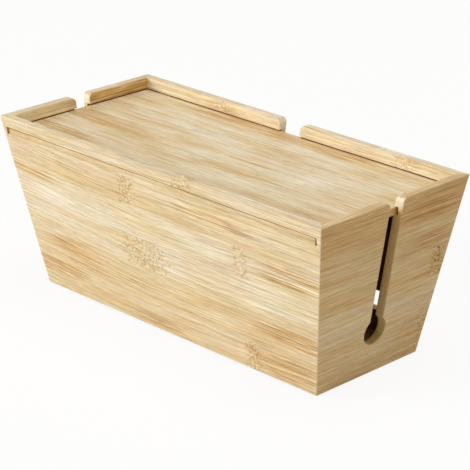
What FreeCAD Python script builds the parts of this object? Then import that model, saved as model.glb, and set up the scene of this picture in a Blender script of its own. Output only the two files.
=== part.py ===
import FreeCAD, Part
import math
import os

# Cable management box of bamboo board: four walls that lean out at the top and meet in
# mitred corners, a base panel held in a groove, a lid that slides out through a slot in the
# front wall, open-topped cable slots that end in round holes, and four rubber feet.
# Frame: X along the length, Y from front to back, Z up. The origin is on the table, under
# the middle of the box. All lengths are in millimetres.

os.makedirs("parts", exist_ok=True)

Vector = FreeCAD.Vector

# Outline of the box and its board
box_length = 330.0
box_width = 150.0
wall_height = 135.0
wall_lean_deg = 9.8
board_thickness = 7.5
arris_easing = 0.8
hole_chamfer = 0.5

# Sliding lid and the groove that it runs in
lid_thickness = 4.8
lid_easing = 0.5
rim_above_groove = 8.0
end_groove_web = 3.1
back_groove_web = 4.1
lid_top_play = 1.0
lid_end_play = 2.1
lid_back_play = 0.7
lid_front_set_back = 1.15

# Base panel and its groove
base_thickness = 5.0
base_lift = 3.0
base_groove_depth = 3.5
base_edge_play = 0.4

# Cable slot and cable hole in each end wall
end_slot_width = 13.0
end_hole_diameter = 21.5
end_hole_height = 34.5

# Wider cable slot and cable hole in the back wall
back_slot_width = 20.0
back_hole_diameter = 28.0
back_hole_height = 38.0

# Rounding where each cable slot opens into the rim
slot_mouth_radius = 4.0

# Long low openings in the back wall, one on each side of the cable hole
vent_length = 75.0
vent_height = 14.0
vent_middle_height = 29.5

# Rubber feet under the base panel
foot_diameter = 12.0
foot_chamfer = 1.0
foot_reach = 1.5
foot_corner_margin = 6.0

# Reach of every cut past the faces that it goes through
overrun = 5.0

# Values worked out from the sizes above. The set-in of the walls is measured level.
lean = math.tan(math.radians(wall_lean_deg))
wall_run = board_thickness / math.cos(math.radians(wall_lean_deg))
rim_z = foot_reach + wall_height
groove_top_z = rim_z - rim_above_groove
groove_floor_z = groove_top_z - lid_top_play - lid_thickness
base_floor_z = foot_reach + base_lift
base_top_z = base_floor_z + base_thickness


# How far the outer faces of the walls stand in from the rim at a height
def set_in(z):
    return (rim_z - z) * lean


def half_length(z):
    return box_length / 2 - set_in(z)


def half_width(z):
    return box_width / 2 - set_in(z)


groove_half_length = half_length(groove_floor_z) - end_groove_web
groove_back_y = half_width(groove_floor_z) - back_groove_web


# Corners of the level rectangle round the box at a height, set in from the outer faces
def outline(z, inset):
    x = half_length(z) - inset
    y = half_width(z) - inset
    return [Vector(-x, -y, z), Vector(x, -y, z), Vector(x, y, z), Vector(-x, y, z)]


def flat_face(points):
    return Part.Face(Part.makePolygon(points + points[:1]))


# Solid with leaning flat sides between two heights
def leaning_block(z_low, z_high, inset):
    low = outline(z_low, inset)
    high = outline(z_high, inset)
    faces = [flat_face(low[::-1]), flat_face(high)]
    for i in range(len(low)):
        j = (i + 1) % len(low)
        faces.append(flat_face([low[i], low[j], high[j], high[i]]))
    return Part.Solid(Part.Shell(faces))


# Box between two opposite corners
def block(low, high):
    return Part.makeBox(high[0] - low[0], high[1] - low[1], high[2] - low[2], Vector(*low))


# Plan areas of the four boards: the mitres run at 45 degrees through the rim's corners
def mitre_sector(side):
    x = box_length / 2 + overrun
    y = box_width / 2 + overrun
    ridge = x - y
    areas = {
        "front": [(-x, -y), (x, -y), (ridge, 0), (-ridge, 0)],
        "back": [(x, y), (-x, y), (-ridge, 0), (ridge, 0)],
        "right": [(x, -y), (x, y), (ridge, 0)],
        "left": [(-x, y), (-x, -y), (-ridge, 0)],
    }
    points = [Vector(px, py, foot_reach - overrun) for px, py in areas[side]]
    return flat_face(points).extrude(Vector(0, 0, wall_height + 2 * overrun))


# Space of the lid's groove: open at the front, where it passes through the wall as a slot
def lid_groove():
    low = (-groove_half_length, -box_width / 2 - overrun, groove_floor_z)
    high = (groove_half_length, groove_back_y, groove_top_z)
    return block(low, high)


# Space of the base panel's groove, level all round
def base_groove_half_sizes():
    to_groove_bottom = wall_run - base_groove_depth
    return half_length(base_floor_z) - to_groove_bottom, half_width(base_floor_z) - to_groove_bottom


def base_groove():
    x, y = base_groove_half_sizes()
    return block((-x, -y, base_floor_z), (x, y, base_top_z))


# Outline of a cable slot seen square on: a round hole, a straight neck up to the rim and a
# mouth that opens with a rounding on each side. s is across the wall, z is height.
def keyhole_wire(slot_width, hole_diameter, hole_z):
    s = slot_width / 2
    r = hole_diameter / 2
    m = slot_mouth_radius
    neck_z = hole_z + math.sqrt(r * r - s * s)
    bend = m * math.sqrt(0.5)
    top_z = rim_z + overrun

    def point(across, z):
        return Vector(0, across, z)

    mouth_z = rim_z - m
    left_bend = point(-s - m + bend, mouth_z + bend)
    right_bend = point(s + m - bend, mouth_z + bend)
    edges = [
        Part.Arc(point(-s, neck_z), point(0, hole_z - r), point(s, neck_z)).toShape(),
        Part.makeLine(point(s, neck_z), point(s, mouth_z)),
        Part.Arc(point(s, mouth_z), right_bend, point(s + m, rim_z)).toShape(),
        Part.makeLine(point(s + m, rim_z), point(s + m, top_z)),
        Part.makeLine(point(s + m, top_z), point(-s - m, top_z)),
        Part.makeLine(point(-s - m, top_z), point(-s - m, rim_z)),
        Part.Arc(point(-s - m, rim_z), left_bend, point(-s, mouth_z)).toShape(),
        Part.makeLine(point(-s, mouth_z), point(-s, neck_z)),
    ]
    return Part.Wire(edges)


# Level cut through one end wall or the back wall. The cut runs from inside the box to past
# the rim; turn_deg swings it from the right end round to the wall that it is for.
def keyhole_cut(slot_width, hole_diameter, hole_height, reach, turn_deg):
    wire = keyhole_wire(slot_width, hole_diameter, foot_reach + hole_height)
    cut = Part.Face(wire).extrude(Vector(reach + overrun, 0, 0))
    cut.rotate(Vector(0, 0, 0), Vector(0, 0, 1), turn_deg)
    return cut


# One long opening with round ends through the back wall
def vent_cut(middle_x):
    r = vent_height / 2
    x = vent_length / 2 - r
    z = foot_reach + vent_middle_height
    edges = [
        Part.makeLine(Vector(middle_x - x, 0, z - r), Vector(middle_x + x, 0, z - r)),
        Part.Arc(
            Vector(middle_x + x, 0, z - r),
            Vector(middle_x + x + r, 0, z),
            Vector(middle_x + x, 0, z + r),
        ).toShape(),
        Part.makeLine(Vector(middle_x + x, 0, z + r), Vector(middle_x - x, 0, z + r)),
        Part.Arc(
            Vector(middle_x - x, 0, z + r),
            Vector(middle_x - x - r, 0, z),
            Vector(middle_x - x, 0, z - r),
        ).toShape(),
    ]
    return Part.Face(Part.Wire(edges)).extrude(Vector(0, box_width / 2 + overrun, 0))


# Vents stand halfway between the back cable hole and the inside of the end walls
def vent_middles():
    inner_half_length = half_length(foot_reach + vent_middle_height) - wall_run
    middle = (back_hole_diameter / 2 + inner_half_length) / 2
    return [-middle, middle]


def end_cut(turn_deg):
    return keyhole_cut(end_slot_width, end_hole_diameter, end_hole_height, box_length / 2, turn_deg)


def back_cut():
    return keyhole_cut(back_slot_width, back_hole_diameter, back_hole_height, box_width / 2, 90)


# Level distances of a point behind the outer faces of the end walls and of the long walls
def depths(point):
    return half_length(point.z) - abs(point.x), half_width(point.z) - abs(point.y)


# An arris runs along a face of a board: not through its thickness, nor up an inner corner
def is_arris(edge):
    ends = [min(depths(vertex.Point)) for vertex in edge.Vertexes]
    middle = depths(edge.valueAt((edge.FirstParameter + edge.LastParameter) / 2))
    through_board = max(ends) - min(ends) > wall_run / 2
    inner_corner = min(middle) > wall_run / 2 and max(middle) < 2 * wall_run
    return not through_board and not inner_corner


# The cable holes and the vents lie clear of the lid and of the foot of the walls
def is_hole_edge(edge):
    box = edge.BoundBox
    return foot_reach + hole_chamfer < box.ZMin and box.ZMax < groove_floor_z


# The whole ring of walls with its openings: the holes and the vents get a small chamfer,
# and every other arris that a hand can touch is rounded
def wall_ring():
    ring = leaning_block(foot_reach, rim_z, 0)
    ring = ring.cut(leaning_block(foot_reach - overrun, rim_z + overrun, wall_run))
    for cut in [end_cut(0), end_cut(180), back_cut()] + [vent_cut(x) for x in vent_middles()]:
        ring = ring.cut(cut)
    hole_edges = [edge for edge in ring.Edges if is_arris(edge) and is_hole_edge(edge)]
    ring = ring.makeChamfer(hole_chamfer, hole_edges)
    arrises = [edge for edge in ring.Edges if is_arris(edge) and not is_hole_edge(edge)]
    return ring.makeFillet(arris_easing, arrises)


# The four boards: the ring is grooved for the lid and the base, then parted at its mitres
def make_walls():
    ring = wall_ring().cut(lid_groove()).cut(base_groove())
    names = {
        "front": "front_wall",
        "back": "back_wall",
        "right": "right_end_wall",
        "left": "left_end_wall",
    }
    return {name: ring.common(mitre_sector(side)) for side, name in names.items()}


# Lid panel: it rests on the groove's floor and stops short of the groove's back. Its top and
# its corners are eased, and the edges of its underside are left sharp.
def make_lid():
    x = groove_half_length - lid_end_play
    front_y = -half_width(groove_top_z) + lid_front_set_back
    back_y = groove_back_y - lid_back_play
    panel = block((-x, front_y, groove_floor_z), (x, back_y, groove_floor_z + lid_thickness))
    eased = [edge for edge in panel.Edges if edge.BoundBox.ZMax > groove_floor_z + lid_easing]
    return panel.makeFillet(lid_easing, eased)


# Base panel: its edges lie in the walls' groove
def make_base():
    x, y = base_groove_half_sizes()
    x = x - base_edge_play
    y = y - base_edge_play
    return block((-x, -y, base_floor_z), (x, y, base_top_z))


# Rubber foot stuck under the base panel, standing out below the walls
def make_foot(x_side, y_side):
    r = foot_diameter / 2
    to_middle = wall_run + foot_corner_margin + r
    x = x_side * (half_length(base_floor_z) - to_middle)
    y = y_side * (half_width(base_floor_z) - to_middle)
    foot = Part.makeCylinder(r, base_floor_z, Vector(x, y, 0))
    lower_edge = [e for e in foot.Edges if e.BoundBox.ZMax < base_floor_z / 2]
    return foot.makeChamfer(foot_chamfer, lower_edge)


def make_feet():
    feet = {}
    for y_name, y_side in (("front", -1), ("back", 1)):
        for x_name, x_side in (("left", -1), ("right", 1)):
            feet["foot_" + y_name + "_" + x_name] = make_foot(x_side, y_side)
    return feet


parts = make_walls()
parts["base_panel"] = make_base()
parts["sliding_lid"] = make_lid()
parts.update(make_feet())

for name, shape in parts.items():
    solid = shape.removeSplitter()
    if len(solid.Solids) == 1:
        solid = solid.Solids[0]
    solid.exportStep("parts/" + name + ".step")
    box = solid.BoundBox
    print(
        name, solid.ShapeType, "valid", solid.isValid(), "volume %.0f" % solid.Volume,
        "X %.2f %.2f" % (box.XMin, box.XMax), "Y %.2f %.2f" % (box.YMin, box.YMax),
        "Z %.2f %.2f" % (box.ZMin, box.ZMax),
    )
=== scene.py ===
import math

import bpy
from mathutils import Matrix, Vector


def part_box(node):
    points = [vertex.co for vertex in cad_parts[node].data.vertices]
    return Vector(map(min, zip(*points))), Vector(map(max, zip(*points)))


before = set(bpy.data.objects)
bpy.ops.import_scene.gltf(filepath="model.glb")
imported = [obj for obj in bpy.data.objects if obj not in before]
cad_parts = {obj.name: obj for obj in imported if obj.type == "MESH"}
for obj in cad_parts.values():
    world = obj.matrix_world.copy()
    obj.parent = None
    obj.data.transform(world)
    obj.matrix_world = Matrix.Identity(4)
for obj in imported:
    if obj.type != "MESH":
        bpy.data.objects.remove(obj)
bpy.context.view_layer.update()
print("frame loaded:", len(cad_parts), "nodes")


# Shader tools: a value is a socket that takes part in sums
def toLinear(colour):  # from 0-255 as seen on screen, by the screen's own curve
    steps = [c / 255 for c in colour]
    return [s / 12.92 if s <= 0.04045 else ((s + 0.055) / 1.055) ** 2.4 for s in steps] + [1.0]


class Value:
    def __init__(self, shader, socket):
        self.shader = shader
        self.socket = socket

    def maths(self, operation, *others, clamp=False):
        settings = {"operation": operation, "use_clamp": clamp}
        return self.shader.add("Math", settings, dict(enumerate((self,) + others)))

    def flipped(self, operation, other):
        return self.shader.add("Math", {"operation": operation}, {0: other, 1: self})

    def __add__(self, other):
        return self.maths("ADD", other)

    def __radd__(self, other):
        return self.maths("ADD", other)

    def __sub__(self, other):
        return self.maths("SUBTRACT", other)

    def __rsub__(self, other):
        return self.flipped("SUBTRACT", other)

    def __mul__(self, other):
        return self.maths("MULTIPLY", other)

    def __rmul__(self, other):
        return self.maths("MULTIPLY", other)

    def __truediv__(self, other):
        return self.maths("DIVIDE", other)

    def __gt__(self, other):
        return self.maths("GREATER_THAN", other)

    def __abs__(self):
        return self.maths("ABSOLUTE")

    def floor(self):
        return self.maths("FLOOR")

    def clipped(self):
        return self.maths("ADD", 0.0, clamp=True)

    def larger(self, other):
        return self.maths("MAXIMUM", other)

    # 0 below low, 1 above high, a soft step between them
    def step(self, low, high):
        settings = {"interpolation_type": "SMOOTHSTEP"}
        return self.shader.add("MapRange", settings, {"Value": self, "From Min": low, "From Max": high})


class Shader:
    def __init__(self, owner):  # a material, or the world
        owner.use_nodes = True
        self.owner = owner
        self.tree = owner.node_tree
        self.tree.nodes.clear()

    def add(self, kind, settings=None, sockets=None, out=0):
        node = self.tree.nodes.new("ShaderNode" + kind)
        for key, value in (settings or {}).items():
            if key == "stops":
                self.fillRamp(node.color_ramp, value)
            else:
                setattr(node, key, value)
        for key, value in (sockets or {}).items():
            if isinstance(value, Value):
                self.tree.links.new(value.socket, node.inputs[key])
            else:
                node.inputs[key].default_value = value
        return Value(self, node.outputs[out]) if node.outputs else None

    def fillRamp(self, ramp, stops):
        while len(ramp.elements) < len(stops):
            ramp.elements.new(1.0)
        for element, (place, colour) in zip(ramp.elements, stops):
            element.position = place
            element.color = toLinear(colour)

    def parts(self, vector):
        return [self.add("SeparateXYZ", None, {0: vector}, out=i) for i in range(3)]

    def place(self):  # X, Y and Z of the point on the piece, in millimetres
        return [part * 1000.0 for part in self.parts(self.add("TexCoord", out=3))]

    def vector(self, x, y, z):
        return self.add("CombineXYZ", None, {0: x, 1: y, 2: z})

    def noise(self, x, y, z, detail=1.0):
        sockets = {"Vector": self.vector(x, y, z), "Scale": 1.0, "Detail": detail}
        return self.add("TexNoise", None, sockets)

    def random(self, number):  # the same random share for the same number
        return self.add("TexWhiteNoise", {"noise_dimensions": "1D"}, {"W": number})

    def blend(self, share, low, high, how="MIX"):
        sockets = {"Factor": share, 6: low, 7: high}
        return self.add("Mix", {"data_type": "RGBA", "blend_type": how}, sockets, out=2)

    def bump(self, height, strength, distance):
        return self.add("Bump", None, {"Strength": strength, "Distance": distance, "Height": height})

    def output(self, surface):
        self.add("OutputMaterial", None, {"Surface": surface})
        return self.owner

    def finish(self, sockets):
        return self.output(self.add("BsdfPrincipled", None, sockets))

    # 1 for the rays that show the surroundings: straight to the camera, in gloss or through glass
    def seenByCamera(self):
        seen = self.add("LightPath")
        for number in (3, 6):  # Is Glossy Ray and Is Transmission Ray
            seen = seen.larger(self.add("LightPath", out=number))
        return seen


# Colours of the bamboo, as seen on screen: tones from dark to light fibres, then the rest
bambooColours = {
    "tones": [
        (0.0, (200, 156, 96)),
        (0.2, (215, 182, 129)),
        (0.4, (226, 202, 158)),
        (0.55, (232, 214, 178)),
        (0.75, (238, 227, 202)),
        (1.0, (245, 239, 223)),
    ],
    "honey": (207, 160, 100),
    "rose": (255, 252, 255),
    "olive": (252, 255, 249),
    "gold": (255, 250, 236),
    "rib": (176, 128, 62),
    "rust": (188, 122, 72),
    "seam": (186, 146, 94),
    "knuckleLine": (172, 130, 66),
    "knuckleSpot": (148, 100, 42),
    "knucklePebble": (250, 236, 192),
    "sandedSheen": (250, 238, 210),
}

# Sizes of the bamboo's figure, in millimetres: a pair is a length along the board and a width across it
bambooFigure = {
    "stripWidth": 24.5,
    "seamWidth": 0.4,
    "seamFade": 50.0,
    "layerDepth": 1.6,
    "driftLength": 170.0,
    "driftWidth": 4.0,
    "wave": (40.0, 14.0),
    "swerve": (8.0, 6.0),
    "swerveWidth": 3.0,
    "swerveReach": 14.0,
    "crossing": 3.0,
    "ribFade": (28.0, 2.2),
    "cloudLength": 60.0,
    "hue": (60.0, 7.0),
    "ragged": (5.0, 4.0),
    "pebble": (3.1, 2.3),
    "broken": (2.2, 2.2),
    "patchy": (7.0, 6.0),
}

# Width and length in millimetres, and detail, of each kind of fibre
bambooFibres = {
    "flecks": (0.9, 11.0, 0.0),
    "fine": (1.15, 50.0, 0.0),
    "lines": (1.8, 160.0, 1.0),
    "ribs": (2.2, 200.0, 0.0),
    "patches": (4.2, 45.0, 1.0),
    "bands": (5.6, 150.0, 1.0),
}

# How strongly each colour covers what lies under it; honeyOnDark and mouthLitGrain add to the one before
bambooCover = {
    "honey": 0.18,
    "honeyOnDark": 0.42,
    "rib": 0.3,
    "rust": 0.4,
    "seam": 0.55,
    "pebble": 0.5,
    "outline": 0.8,
    "endGrain": 0.65,
    "mouthLitGrain": 0.2,
    "sandedSheen": 0.6,
    "frontEdgeLine": 0.17,
}

# What a knuckle gets by chance: how far it may stand off as a share of the board's length, and the
# least half width, strength and spots with how much luck adds
bambooLuck = {
    "spreadShare": 1.2,
    "halfWidth": (5.0, 4.0),
    "strength": (0.3, 0.6),
    "spots": (0.0, 0.6),
}

# Sheen and relief of the surface, on which fibres stand out and seams and outlines lie deeper
bambooSurface = {
    "specular": 0.25,
    "coatRoughness": 0.32,
    "bumpStrength": 0.25,
    "bumpDistance": 0.0004,
}
innerStrips = 40  # added to the number of a strip on the inner face of a board


# Laminated bamboo, layer by layer: strips side by side, fibres along them, a knuckle across each
# strip, and last the cut faces, the painted shade inside the box and the lid's margins. Odd factors and
# sums on a strip, its luck and the seed only keep one noise apart from the next.
class Bamboo:
    def __init__(self, name, board, axes):
        self.board = board
        self.seed = board["seed"]
        self.shader = Shader(bpy.data.materials.new(name))
        self.along, self.across, self.depth = axes(self.shader.place())
        self.normals = self.shader.parts(self.shader.add("TexCoord", out=1))
        self.innerAxis, innerSign = board["innerSide"]
        self.inner = self.normals[self.innerAxis] * innerSign > 0.5

    # One more colour over what is there
    def lay(self, share, colour, how="MIX"):
        self.base = self.shader.blend(share, self.base, toLinear(colour), how)

    # Noise in patches of a length and a width, from 0 to 1
    def noise(self, size, layer, across=None, detail=1.0):
        length, width = size
        across = self.across if across is None else across
        return self.shader.noise(self.along / length, across / width, layer, detail)

    # Noise that is drawn out along the fibres, from -0.5 to 0.5
    def fibres(self, kind):
        width, length, detail = bambooFibres[kind]
        place = self.along / (length * self.board["fibreLength"]) + self.luck * 50.0
        return self.shader.noise(place, self.wandered / width, self.layer, detail) - 0.5

    # A soft-edged patch, centred at a place along and across the board
    def patch(self, middle, halfSizes):
        a = (self.along - middle[0]) / halfSizes[0]
        b = (self.across - middle[1]) / halfSizes[1]
        return 1 - (a * a + b * b).step(0.1, 1.0)

    # A value that goes by chance from strip to strip, apart from the strips that a table names
    def byStrip(self, chance, table):
        value = chance
        for number, wanted in table.items():
            isHere = 1 - (abs(self.strip - float(number)) > 0.5)
            value = value + isHere * (wanted - value)
        return value

    # Strips have a number and two random shares, and other numbers on the inner face
    def layStrips(self):
        place = (self.across - self.board["firstSeam"]) / bambooFigure["stripWidth"]
        self.inStrip = place - place.floor()
        self.strip = place.floor() + self.inner * innerStrips
        self.luck = self.shader.random(self.strip + self.seed)
        self.otherLuck = self.shader.random(self.strip + (self.seed + 0.37))

    # Where the knuckle stands on each strip, and how wide, how strong and how spotted it is
    def placeKnuckles(self):
        chances = [(self.otherLuck - 0.5) * self.board["length"] * bambooLuck["spreadShare"]]
        for kind, luck in (("halfWidth", self.luck), ("strength", self.otherLuck), ("spots", self.luck)):
            least, more = bambooLuck[kind]
            chances.append(least + luck * more)
        knuckles = self.board["knuckles"].items()
        middle, self.halfWidth, self.strength, self.spots = [
            self.byStrip(chance, {strip: values[i] for strip, values in knuckles})
            for i, chance in enumerate(chances)
        ]
        every = self.board["knuckleEvery"]
        self.turn = ((self.along - middle) / every + 0.5).floor()
        self.fromKnuckle = self.along - middle - self.turn * every

    # Fibres lean a little, wander, swerve at a knuckle, and differ on its two sides
    def bendFibres(self):
        figure = bambooFigure
        board = self.board
        drift = self.shader.noise(self.along / figure["driftLength"], self.strip * 5.3, self.seed) - 0.5
        self.swerve = self.noise(figure["swerve"], self.depth / figure["swerve"][1] + self.seed) - 0.5
        reach = self.halfWidth + figure["swerveReach"]
        near = (1 - (abs(self.fromKnuckle) / reach).step(0.2, 1.0)) * self.strength
        lean = (board["leanFrom"] - self.along).larger(0.0) * (self.strip > -0.5) * board["lean"]
        wave = self.noise(figure["wave"], self.seed + 7.0) - 0.5
        wandered = self.across + lean + drift * figure["driftWidth"] + wave * board["waver"]
        self.wandered = wandered + self.swerve * near * figure["swerveWidth"]
        side = (self.fromKnuckle.step(-figure["crossing"], figure["crossing"]) + self.turn) * 2.3
        self.layer = self.depth / figure["layerDepth"] + side + self.seed

    # Fibres of every kind, and clouds that follow the strips
    def growFibres(self):
        self.flecks = self.fibres("flecks")
        self.fine = self.fibres("fine")
        self.lines = self.fibres("lines")
        ribFade = self.noise(bambooFigure["ribFade"], self.seed + 2.0, self.wandered).step(0.4, 0.6)
        self.ribs = (1 - abs(self.fibres("ribs")).step(0.015, 0.07)) * ribFade
        self.patches = self.fibres("patches")
        self.bands = self.fibres("bands")
        cloudSize = (bambooFigure["cloudLength"], self.board["cloudWidth"])
        self.cloud = self.noise(cloudSize, self.strip * 3.1 + self.seed, detail=2.0) - 0.5

    # Marks of the board: honey streaks, paler or darker patches, and spots on the rim's inner arris
    def placeMarks(self):
        board = self.board
        faces = {"outer": 1 - self.inner, "inner": self.inner}
        self.streak = (self.bands * -1.0 + self.cloud * -0.8).step(0.16, 0.42) * board["honey"]
        self.lift = self.byStrip((self.luck - 0.5) * board["stripContrast"], board["stripTones"])
        self.spotted = self.inner * 0.0
        for face, kind, place, halfSizes, amount in board["marks"]:
            mark = self.patch(place, halfSizes) * faces[face] * amount
            if kind == "streak":
                self.streak = self.streak.larger(mark)
            elif kind == "arris":
                self.spotted = self.spotted.larger(mark * self.depth.step(*board["innerArris"]))
            else:
                self.lift = self.lift + mark

    # Light and dark fibres, honey in the streaks, and the spots
    def colourTones(self):
        board = self.board
        self.contrast = (0.75 + self.streak * 0.8) * board["contrast"]
        mottle = self.cloud * 1.3 + self.bands * 0.75 + self.patches * 0.4
        tone = board["tone"] + self.lift + mottle * board["bandShare"] - self.streak * 0.12
        tone = tone + (self.lines * 0.45 + self.fine * 0.25) * self.contrast
        self.base = self.shader.add("ValToRGB", {"stops": bambooColours["tones"]}, {0: tone})
        darkLines = 1 - (self.lines + self.fine).step(-0.15, 0.1)
        honey = self.streak * (bambooCover["honey"] + darkLines * bambooCover["honeyOnDark"])
        self.lay(honey.clipped(), bambooColours["honey"])
        self.lay(self.spotted, bambooColours["knuckleSpot"])

    # Hues drift from strip to strip and along it: golden, pinkish and greenish stretches
    def colourHues(self):
        for number, hue in enumerate(("gold", "rose", "olive")):
            layer = self.seed + self.strip * 1.7 + number * 9.0
            amount = self.noise(bambooFigure["hue"], layer, self.wandered).step(0.4, 0.75)
            self.lay(amount, bambooColours[hue], "MULTIPLY")

    # Fine fibres and short flecks only shade the colour, and thin ribs are brown, or rust in a streak
    def shadeFibres(self):
        shade = 1 + (self.fine * 0.65 + self.flecks * 0.45 + self.lines * 0.2) * self.contrast
        self.base = self.shader.blend(1.0, self.base, shade, "MULTIPLY")
        self.lay(self.ribs * self.contrast * bambooCover["rib"], bambooColours["rib"])
        self.lay(self.ribs * self.streak * bambooCover["rust"], bambooColours["rust"])

    # Seams between the strips, which fade here and there
    def drawSeams(self):
        width = bambooFigure["seamWidth"]
        fromSeam = (0.5 - abs(self.inStrip - 0.5)) * bambooFigure["stripWidth"]
        fade = self.shader.noise(self.along / bambooFigure["seamFade"], self.strip * 7.7, self.seed)
        self.seam = (1 - fromSeam.step(width / 2, width)) * fade.step(0.4, 0.75)
        self.lay(self.seam * bambooCover["seam"], bambooColours["seam"])

    # How far it is to the edge of a pebble, and a random share for each pebble
    def pebbles(self):
        length, width = bambooFigure["pebble"]
        along = self.along / length + self.swerve * 0.8
        place = self.shader.vector(along, self.wandered / width, self.depth / length + self.seed)
        cells = {"Vector": place, "Scale": 1.0}
        toEdge = self.shader.add("TexVoronoi", {"feature": "DISTANCE_TO_EDGE"}, cells)
        colour = self.shader.add("TexVoronoi", None, cells, out=1)
        return toEdge, self.shader.add("SeparateColor", None, {0: colour})

    # Knuckles: pale pebbles with brown outlines, in a ragged band across the strip
    def drawKnuckles(self):
        figure = bambooFigure
        ragged = self.noise(figure["ragged"], self.seed + self.strip, detail=2.0) - 0.5
        reach = abs(self.fromKnuckle) / self.halfWidth + ragged * 1.5
        self.band = (1 - reach.step(0.6, 1.15)) * self.strength
        toEdge, pebbleLuck = self.pebbles()
        broken = self.noise(figure["broken"], self.depth / figure["broken"][1] + self.seed).step(0.36, 0.6)
        patchy = self.noise(figure["patchy"], self.seed + 5.0).step(0.35, 0.6)
        self.outline = (1 - toEdge.step(0.02, 0.2)) * broken * (0.45 + patchy * 0.55)
        spot = pebbleLuck.step(0.84, 0.9) * toEdge.step(0.05, 0.25)
        pale = toEdge.step(0.1, 0.4) * bambooCover["pebble"]
        self.lay(self.band * pale, bambooColours["knucklePebble"])
        self.lay(self.band * self.outline * bambooCover["outline"], bambooColours["knuckleLine"])
        self.lay(self.band * spot * self.spots, bambooColours["knuckleSpot"])

    # Cut faces are end grain, with painted light making them palest at the mouth of a slot, and corners
    # are sanded and carry a painted highlight.
    # Painted shade tints the faces that do not face up, and the sills of holes.
    def colourCuts(self):
        board = self.board
        endGrain = abs(self.normals[board["grainAxis"]]).step(0.6, 0.8)
        edgeOn = 1 - abs(self.normals[self.innerAxis]).step(0.3, 0.5)
        inHole = edgeOn * (self.across > board["holesFrom"])
        self.endGrain = endGrain.larger(inHole)
        # Painted light: the cut face turns palest near the rim, at the mouth of a slot, as if lit from
        # above
        atMouth = 1 - self.across.step(*board["mouthEnds"])
        cutColour = self.shader.blend(atMouth, toLinear(board["endGrain"]), toLinear(board["mouthLitGrain"]))
        # Painted shade: faces that do not face up take the board's shade tint, warmer and darker on the
        # boards that stand in shade
        upright = 1 - self.normals[2].step(0.5, 0.9)
        self.lay(upright, board["shadeTint"], "MULTIPLY")
        cover = bambooCover["endGrain"] + atMouth * bambooCover["mouthLitGrain"]
        self.base = self.shader.blend(self.endGrain * cover, self.base, cutColour)
        # Painted shade: the up-facing sills of the holes are darkened and warmed
        sill = inHole * self.normals[2].step(0.3, 0.8)
        self.lay(sill, board["sillShadeTint"], "MULTIPLY")
        # Sanded corners with a painted highlight: rounded corners away from the slots, and the slot
        # mouths, turn pale as if catching the light
        worn = (abs(self.along) > board["slotReach"]).larger(atMouth)
        corner = (abs(self.normals[0]) * abs(self.normals[1])).step(0.15, 0.4) * worn
        self.lay(corner * bambooCover["sandedSheen"], bambooColours["sandedSheen"])

    # The inside below the lid is darkened with painted shade, and the routed groove and slot are rough and
    # darkened with painted shade
    def colourInside(self):
        board = self.board
        # Painted shade inside the box, below the lid
        inside = self.inner * self.across.step(*board["insideBegins"])
        self.lay(inside, board["insideShadeTint"], "MULTIPLY")
        top, bottom = board["groove"]
        routed = (self.depth > board["grooveFrom"]) * (1 - self.inner * (self.depth > board["grooveTo"]))
        level = (self.across > top) * (1 - (self.across > bottom))
        self.groove = routed * level * (1 - self.endGrain)
        # Painted shade in the groove, so that the gap around the lid shows as a dark line
        self.lay(self.groove, board["grooveShadeTint"], "MULTIPLY")

    # A lid's margins, which the rim covers, are browner with painted shade from the rim, and a darker line
    # runs along its front edge
    def colourMargins(self):
        board = self.board
        sides, front, back = board["margin"]
        # Painted shade on the lid's top where the rim covers it
        covered = (abs(self.along) > sides).larger((front - self.across) > 0.0).larger(self.across > back)
        self.lay(covered * (self.normals[2] > 0.5), board["marginShadeTint"], "MULTIPLY")
        # A darker line along the lid's front face, at a set depth below its top
        edge = self.normals[1] * -1.0 > 0.5
        edgeLineMask = 1 - abs(self.depth - board["frontEdgeLine"]).step(0.4, 1.0)
        self.lay(edge * edgeLineMask * bambooCover["frontEdgeLine"], bambooColours["rib"])

    def finish(self):
        board = self.board
        surface = bambooSurface
        dents = self.band * self.outline
        height = self.fine * 0.5 + self.lines * 0.4 - self.seam * 0.4 - dents * 0.4
        return self.shader.finish({
            "Base Color": self.base,
            "Roughness": board["roughness"] - self.fine * 0.12 + dents * 0.08 + self.groove * 0.5,
            "Specular IOR Level": surface["specular"],
            "Coat Weight": board["coat"] * (1 - self.groove),
            "Coat Roughness": surface["coatRoughness"],
            "Normal": self.shader.bump(height, surface["bumpStrength"], surface["bumpDistance"]),
        })


def bamboo(name, board, axes):
    wood = Bamboo(name, board, axes)
    wood.layStrips()
    wood.placeKnuckles()
    wood.bendFibres()
    wood.growFibres()
    wood.placeMarks()
    wood.colourTones()
    wood.colourHues()
    wood.shadeFibres()
    wood.drawSeams()
    wood.drawKnuckles()
    wood.colourCuts()
    wood.colourInside()
    if "margin" in board:
        wood.colourMargins()
    return wood.finish()


# The box's own sizes, in millimetres: half its length and half its width at the rim, and the rim's height
boxSizes = {
    "leanDegrees": 9.8,
    "halfSizes": (165.0, 75.0),
    "rim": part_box("front_wall")[1].z * 1000.0,
}
leanRatio = math.tan(math.radians(boxSizes["leanDegrees"]))


# Axes of a leaning wall: along the grain, across the strips down from the rim, depth behind the face
def wallAxes(board):
    innerAxis, innerSign = board["innerSide"]

    def axes(place):
        down = boxSizes["rim"] - place[2]
        depth = place[innerAxis] * innerSign + boxSizes["halfSizes"][innerAxis] - down * leanRatio
        return place[board["grainAxis"]], down, depth

    return axes


# A level panel: strips lie side by side along Y, and depth is below its top
def panelAxes(node):
    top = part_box(node)[1].z * 1000.0

    def axes(place):
        x, y, z = place
        return x, y, top - z

    return axes


def dress(node, material):
    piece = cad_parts[node]
    piece.data.materials.clear()
    piece.data.materials.append(material)


noKnuckle = (220.0, 5.0, 0.0, 0.0)

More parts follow.
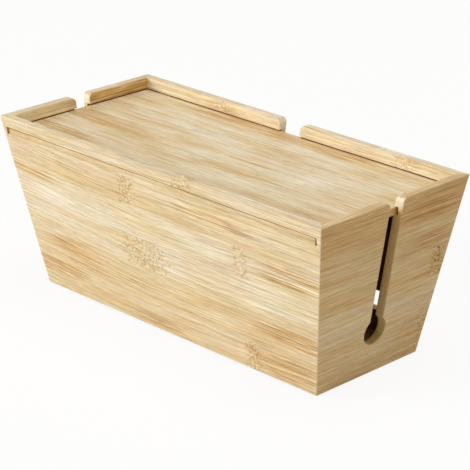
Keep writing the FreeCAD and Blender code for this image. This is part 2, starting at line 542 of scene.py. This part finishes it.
# What the boards have in common; the inner side is an axis and the sign of its direction
plainBoard = {
    "length": 300.0,
    "firstSeam": 12.5,
    "tone": 0.57,
    "contrast": 1.0,
    "cloudWidth": 12.0,
    "stripContrast": 0.3,
    "stripTones": {},
    "bandShare": 0.4,
    "knuckles": {},
    "knuckleEvery": 400.0,
    "marks": [],
    "honey": 0.4,
    "grainAxis": 0,
    "lean": 0.0,
    "leanFrom": 0.0,
    "shadeTint": (255, 255, 255),
    "fibreLength": 0.9,
    "waver": 0.5,
    "endGrain": (237, 208, 150),
    "mouthLitGrain": (254, 246, 222),
    "mouthEnds": (6.0, 10.0),
    "holesFrom": 60.0,
    "sillShadeTint": (240, 222, 190),
    "slotReach": 40.0,
    "innerArris": (6.2, 6.8),
    "insideShadeTint": (186, 158, 130),
    "insideBegins": (14.0, 15.0),
    "groove": (7.9, 14.0),
    "grooveFrom": 1.2,
    "grooveTo": 6.5,
    "grooveShadeTint": (206, 160, 104),
    "roughness": 0.48,
    "coat": 0.06,
}

# Places are along the board and down from the rim, in millimetres. A knuckle has its place along
# the board, its half width, its strength and its share of dark spots.
frontBoard = {
    **plainBoard,
    "seed": 3.0,
    "innerSide": (1, 1.0),
    "lean": 0.06,
    "leanFrom": -20.0,
    "knuckles": {
        -1: (32.0, 11.0, 0.9, 0.5),
        0: (-29.0, 10.0, 0.9, 0.1),
        1: (82.0, 7.0, 0.7, 0.6),
        2: (-19.0, 26.0, 0.9, 0.4),
        3: noKnuckle,
        4: (83.0, 8.0, 1.0, 0.5),
    },
    "stripTones": {-1: 0.03, 0: -0.03, 1: 0.08, 2: 0.08, 3: -0.06, 4: -0.06},
    "marks": [
        ("outer", "streak", (-138.0, 38.0), (34.0, 6.0), 0.5),
        ("outer", "streak", (-98.0, 93.0), (42.0, 9.0), 0.65),
        ("outer", "streak", (-125.0, 116.0), (42.0, 9.0), 0.8),
        ("outer", "streak", (-18.0, 128.0), (42.0, 6.0), 0.55),
        ("outer", "streak", (60.0, 25.0), (50.0, 7.0), 0.75),
        ("outer", "streak", (130.0, 48.0), (42.0, 10.0), 0.8),
        ("outer", "streak", (127.0, 97.0), (48.0, 9.0), 1.0),
        ("outer", "streak", (110.0, 122.0), (45.0, 12.0), 0.5),
        ("outer", "arris", (-136.0, 0.0), (4.0, 2.0), 0.8),
        ("outer", "arris", (-115.0, 0.0), (6.0, 2.0), 0.8),
        ("outer", "arris", (-82.0, 0.0), (5.0, 2.0), 0.7),
        ("outer", "tone", (-90.0, 55.0), (62.0, 18.0), 0.14),
        ("outer", "tone", (42.0, 45.0), (45.0, 7.0), 0.16),
        ("outer", "tone", (6.0, 72.0), (24.0, 12.0), 0.14),
        # Painted highlight: a pale line along the slot's lower edge, as if its eased arris catches the
        # light
        ("outer", "tone", (0.0, 14.2), (900.0, 1.0), 0.14),
        ("outer", "tone", (105.0, 70.0), (70.0, 13.0), 0.1),
        ("outer", "tone", (-90.0, 25.0), (80.0, 10.0), -0.05),
    ],
    "honey": 0.15,
}
dress("front_wall", bamboo("bambooFront", frontBoard, wallAxes(frontBoard)))

backBoard = {
    **plainBoard,
    "seed": 11.0,
    "innerSide": (1, -1.0),
    "shadeTint": (255, 251, 242),
    "knuckles": {innerStrips - 1: (-72.0, 9.0, 0.6, 0.4)},
    "knuckleEvery": 185.0,
    "marks": [
        ("inner", "streak", (-72.0, 4.0), (22.0, 10.0), 0.5),
        ("inner", "streak", (113.0, 4.0), (16.0, 10.0), 0.4),
    ],
}
dress("back_wall", bamboo("bambooBack", backBoard, wallAxes(backBoard)))

rightBoard = {
    **plainBoard,
    "seed": 23.0,
    "innerSide": (0, -1.0),
    "contrast": 0.85,
    "length": 140.0,
    "grainAxis": 1,
    "firstSeam": 0.0,
    "shadeTint": (253, 243, 224),
    "knuckles": {
        0: noKnuckle,
        1: noKnuckle,
        2: (55.0, 6.5, 1.4, 0.8),
        3: noKnuckle,
        4: (49.0, 4.0, 0.4, 0.3),
        5: noKnuckle,
    },
    "stripTones": {0: -0.22, 1: -0.02, 2: -0.03, 3: 0.2, 4: 0.05, 5: -0.05},
    "marks": [
        ("outer", "streak", (40.0, 17.0), (42.0, 11.0), 0.8),
        ("outer", "streak", (50.0, 41.0), (28.0, 8.0), 0.7),
        ("outer", "streak", (45.0, 112.0), (28.0, 12.0), 0.45),
    ],
    "honey": 0.15,
}
dress("right_end_wall", bamboo("bambooRight", rightBoard, wallAxes(rightBoard)))

leftBoard = {
    **plainBoard,
    "seed": 31.0,
    "innerSide": (0, 1.0),
    "length": 140.0,
    "grainAxis": 1,
    "firstSeam": 0.0,
    "shadeTint": (255, 241, 214),
    "knuckles": {innerStrips: noKnuckle},
    "marks": [
        ("inner", "streak", (40.0, 4.0), (52.0, 14.0), 0.7),
        ("inner", "tone", (-45.0, 4.0), (50.0, 14.0), 0.55),
    ],
}
dress("left_end_wall", bamboo("bambooLeft", leftBoard, wallAxes(leftBoard)))

lidBoard = {
    **plainBoard,
    "seed": 47.0,
    "innerSide": (2, -1.0),
    "groove": (300.0, 301.0),
    "margin": (155.8, -66.5, 66.6),
    "marginShadeTint": (222, 186, 140),
    "frontEdgeLine": 2.8,
    "fibreLength": 0.7,
    "waver": 1.8,
    "endGrain": (216, 172, 112),
    "mouthLitGrain": (216, 172, 112),
    "holesFrom": 200.0,
    "firstSeam": -71.0,
    "tone": 0.55,
    "contrast": 0.8,
    "cloudWidth": 20.0,
    "stripContrast": 0.12,
    "insideBegins": (-200.0, -199.0),
    "knuckles": {strip: noKnuckle for strip in range(-1, 6)},
    "marks": [
        ("outer", "streak", (-135.0, -14.0), (38.0, 6.0), 0.8),
        ("outer", "streak", (-140.0, 25.0), (22.0, 8.0), 0.7),
        ("outer", "streak", (-130.0, -45.0), (40.0, 7.0), 0.7),
        ("outer", "streak", (118.0, -46.0), (40.0, 6.0), 0.6),
        ("outer", "streak", (40.0, -18.0), (80.0, 2.5), 0.6),
        ("outer", "streak", (30.0, 1.0), (60.0, 1.5), 0.6),
        ("outer", "streak", (40.0, 22.0), (4.0, 2.5), 1.0),
        ("outer", "streak", (0.0, 58.0), (160.0, 8.0), 0.5),
        ("outer", "tone", (60.0, 20.0), (110.0, 40.0), 0.06),
        ("outer", "tone", (-110.0, -25.0), (70.0, 45.0), -0.1),
    ],
    "bandShare": 0.85,
    "honey": 0.25,
}
dress("sliding_lid", bamboo("bambooLid", lidBoard, panelAxes("sliding_lid")))

baseBoard = {
    **plainBoard,
    "seed": 59.0,
    "innerSide": (2, -1.0),
    "groove": (300.0, 301.0),
    "firstSeam": -61.0,
    "shadeTint": (186, 160, 138),
    "roughness": 0.6,
    "coat": 0.0,
}
dress("base_panel", bamboo("bambooBase", baseBoard, panelAxes("base_panel")))
print("bamboo boards dressed")


# Feet: black rubber with a fine matt skin
def rubber(settings):
    shader = Shader(bpy.data.materials.new("footRubber"))
    place = shader.place()
    grain = shader.noise(*[part / settings["grainSize"] for part in place], 3.0)
    worn = shader.noise(*[part / settings["wearSize"] for part in place], 2.0)
    colour = shader.blend(worn, toLinear(settings["dark"]), toLinear(settings["light"]))
    return shader.finish({
        "Base Color": colour,
        "Roughness": settings["roughness"] + grain * settings["roughGrain"],
        "Normal": shader.bump(grain, settings["bumpStrength"], settings["bumpDistance"]),
    })


rubberFeet = {
    "nodes": ["foot_front_left", "foot_front_right", "foot_back_left", "foot_back_right"],
    "dark": (26, 26, 27),
    "light": (44, 43, 43),
    "roughness": 0.62,
    "roughGrain": 0.15,
    "grainSize": 0.4,
    "wearSize": 5.0,
    "bumpStrength": 0.3,
    "bumpDistance": 0.0002,
}
footMaterial = rubber(rubberFeet)
for node in rubberFeet["nodes"]:
    dress(node, footMaterial)
print("feet dressed")

# Floor: white where it is seen, with the object's shadow, and less white to the light it throws back
floorSettings = {
    "halfSize": 12.0,
    "seen": (255, 255, 255),
    "bounced": (224, 218, 207),
    "glow": 0.9,
}


def makeFloor(settings):
    bpy.ops.object.select_all(action="DESELECT")
    bpy.ops.mesh.primitive_plane_add(size=settings["halfSize"] * 2)
    floor = bpy.context.object
    floor.name = "floor"
    shader = Shader(bpy.data.materials.new("floorWhite"))
    seen = shader.seenByCamera()
    colour = shader.blend(seen, toLinear(settings["bounced"]), toLinear(settings["seen"]))
    paper = shader.add("BsdfDiffuse", None, {"Color": colour})
    glow = shader.add("Emission", None, {"Color": toLinear(settings["seen"]), "Strength": 1.0})
    surface = shader.add("MixShader", None, {0: seen * settings["glow"], 1: paper, 2: glow})
    floor.data.materials.append(shader.output(surface))


makeFloor(floorSettings)

# Soft studio light: a large low key lamp at the front left, a large lamp above, a pale room
lightSettings = {
    "room": 0.38,
    "roomColour": (255, 243, 224),
    "seen": (255, 255, 255),
    "aim": (0.0, 0.0, 0.07),
    "lamps": {
        "keyLamp": {"place": (-2.2, -3.2, 1.1), "size": 2.0, "power": 100.0},
        "topLamp": {"place": (0.4, 0.3, 3.0), "size": 2.4, "power": 34.0},
    },
}


def addLamp(name, place, size, power):
    lamp = bpy.data.lights.new(name, "AREA")
    lamp.shape = "DISK"
    lamp.size = size
    lamp.energy = power
    holder = bpy.data.objects.new(name, lamp)
    holder.location = place
    aim = Vector(lightSettings["aim"]) - Vector(place)
    holder.rotation_euler = aim.to_track_quat("-Z", "Y").to_euler()
    bpy.context.scene.collection.objects.link(holder)


for name, lamp in lightSettings["lamps"].items():
    addLamp(name, lamp["place"], lamp["size"], lamp["power"])


# The room is white where it is seen, and dimmer as light on the object
def makeRoom(settings):
    room = bpy.data.worlds.new("room")
    bpy.context.scene.world = room
    shader = Shader(room)
    dimmed = [part * settings["room"] for part in toLinear(settings["roomColour"])[:3]] + [1.0]
    colour = shader.blend(shader.seenByCamera(), dimmed, toLinear(settings["seen"]))
    shader.add("OutputWorld", None, {"Surface": shader.add("Background", None, {"Color": colour})})


makeRoom(lightSettings)
print("floor and lights ready")

# Camera at the photograph's angle
cameraSettings = {
    "place": (0.99594, -0.97158, 0.61488),
    "azimuth": 45.418,
    "elevation": 21.546,
    "lens": 156.514,
    "sensor": 36.0,
    "sight": 100.0,
}


def addCamera(settings):
    camera = bpy.data.cameras.new("camera")
    camera.lens = settings["lens"]
    camera.sensor_width = settings["sensor"]
    camera.clip_end = settings["sight"]
    holder = bpy.data.objects.new("camera", camera)
    holder.location = settings["place"]
    a = math.radians(settings["azimuth"])
    e = math.radians(settings["elevation"])
    back = Vector((math.sin(a) * math.cos(e), -math.cos(a) * math.cos(e), math.sin(e)))
    holder.rotation_euler = back.to_track_quat("Z", "Y").to_euler()
    bpy.context.scene.collection.objects.link(holder)
    bpy.context.scene.camera = holder


addCamera(cameraSettings)
bpy.context.scene.view_settings.view_transform = "Standard"
print("camera ready")
